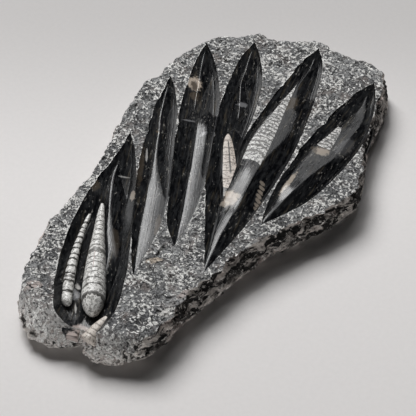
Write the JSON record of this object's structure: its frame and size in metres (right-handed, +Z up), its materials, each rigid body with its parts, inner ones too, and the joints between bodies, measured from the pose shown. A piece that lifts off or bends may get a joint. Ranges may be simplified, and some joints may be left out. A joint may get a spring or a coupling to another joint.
{
  "type": "orthoceras fossil plate",
  "caption": "Hammered black limestone plate with leaf-shaped polished hollows around ridges that show segmented orthoceras shells; lies flat on display.",
  "frame": {"origin": "centre of the plate's footprint, on the sawn underside that it lies on", "axes": "+Z up, out of the hammered face; +Y along the plate's length, towards its wide end; +X to the right, with the nose towards the viewer"},
  "size_m": [0.2406, 0.4239, 0.0359],
  "materials": {
    "limestone": "hammered on top with polished hollows, broken at the sides, sawn below",
    "white_calcite": "polished",
    "tan_calcite": "polished"
  },
  "bodies": {
    "root": {"limestone_slab": "limestone", "slender_shell": "white_calcite", "large_left_shell": "white_calcite", "broad_shell": "white_calcite", "right_shell": "white_calcite", "rim_fragment": "tan_calcite", "tan_shell": "tan_calcite"}
  },
  "joints": []
}
